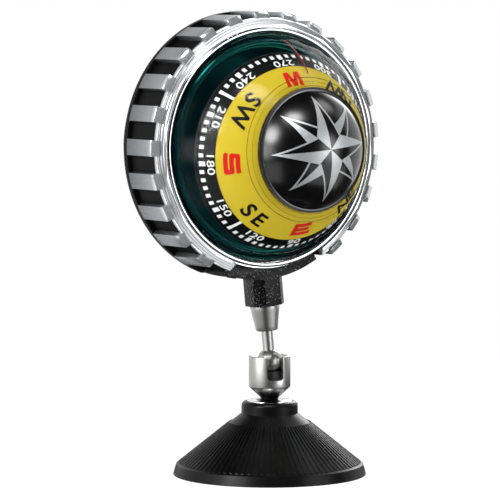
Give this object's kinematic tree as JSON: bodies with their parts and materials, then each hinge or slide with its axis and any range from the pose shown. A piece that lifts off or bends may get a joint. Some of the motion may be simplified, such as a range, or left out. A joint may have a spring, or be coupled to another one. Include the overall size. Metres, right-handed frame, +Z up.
{
  "type": "car dashboard compass",
  "caption": "Liquid-filled dome compass with a floating card and a ridged crown ring, on a ball-jointed stem with a slotted socket and a suction cup.",
  "frame": {"origin": "middle of the suction cup's lip, on the surface that it holds", "axes": "+Z up, away from that surface; the dome looks along -Y, +X is to the right of a viewer who faces the dome"},
  "size_m": [0.0816, 0.0725, 0.1411],
  "materials": {
    "cup_rubber": "semi-gloss, finely ribbed",
    "plain_steel": "plain",
    "bright_chrome": "polished",
    "satin_nickel": "satin turned",
    "black_acetal": "smooth",
    "insert_brass": "turned",
    "black_plastic": "fine grain",
    "black_steel": "blackened",
    "satin_chrome": "satin",
    "clear_dome": "clear acrylic, polished",
    "black_gloss": "gloss",
    "seal_rubber": "matte",
    "bowl_teal": "dark, glossy",
    "red_line": "printed",
    "card_face": "printed",
    "jewel": "polished stone"
  },
  "bodies": {
    "base": {"suction_cup": "cup_rubber", "cup_anchor": "plain_steel", "flange_disc": "bright_chrome", "ball_socket": "satin_nickel", "friction_pad": "black_acetal"},
    "stud": {"ball_stud": "satin_nickel", "taper_nut": "satin_nickel"},
    "head": {"thread_insert": "insert_brass", "bracket": "black_plastic", "saddle_screws": "black_steel", "housing": "black_plastic", "crown_ring": "satin_chrome", "bezel_ring": "bright_chrome", "dome": "clear_dome", "star_cap": "black_gloss", "cap_trim": "bright_chrome", "dome_seal": "seal_rubber", "bowl": "bowl_teal", "fill_plug": "black_plastic", "diaphragm": "seal_rubber", "clamp_ring": "plain_steel", "rear_cover": "black_plastic", "cover_screws": "black_steel", "lubber_line": "red_line", "pivot_post": "black_plastic", "pivot_pin": "plain_steel"},
    "card": {"card": "card_face", "card_plate": "black_plastic", "jewel_cup": "jewel", "card_magnets": "plain_steel"}
  },
  "joints": [
    {"name": "ball_tilt", "type": "hinge", "parent": "base", "child": "stud", "pos_m": [0, 0, 0.0343], "axis": [0.9619, -0.2578, 0.0908], "range_deg": [-35, 89.7]},
    {"name": "head_turn", "type": "hinge", "parent": "stud", "child": "head", "pos_m": [0, 0, 0.0343], "axis": [-0.0889, 0.0191, 0.9959], "continuous": true},
    {"name": "card_spin", "type": "hinge", "parent": "head", "child": "card", "pos_m": [-0.00588, -0.00124, 0.10017], "axis": [-0.0436, -0.9982, -0.0408], "continuous": true}
  ]
}
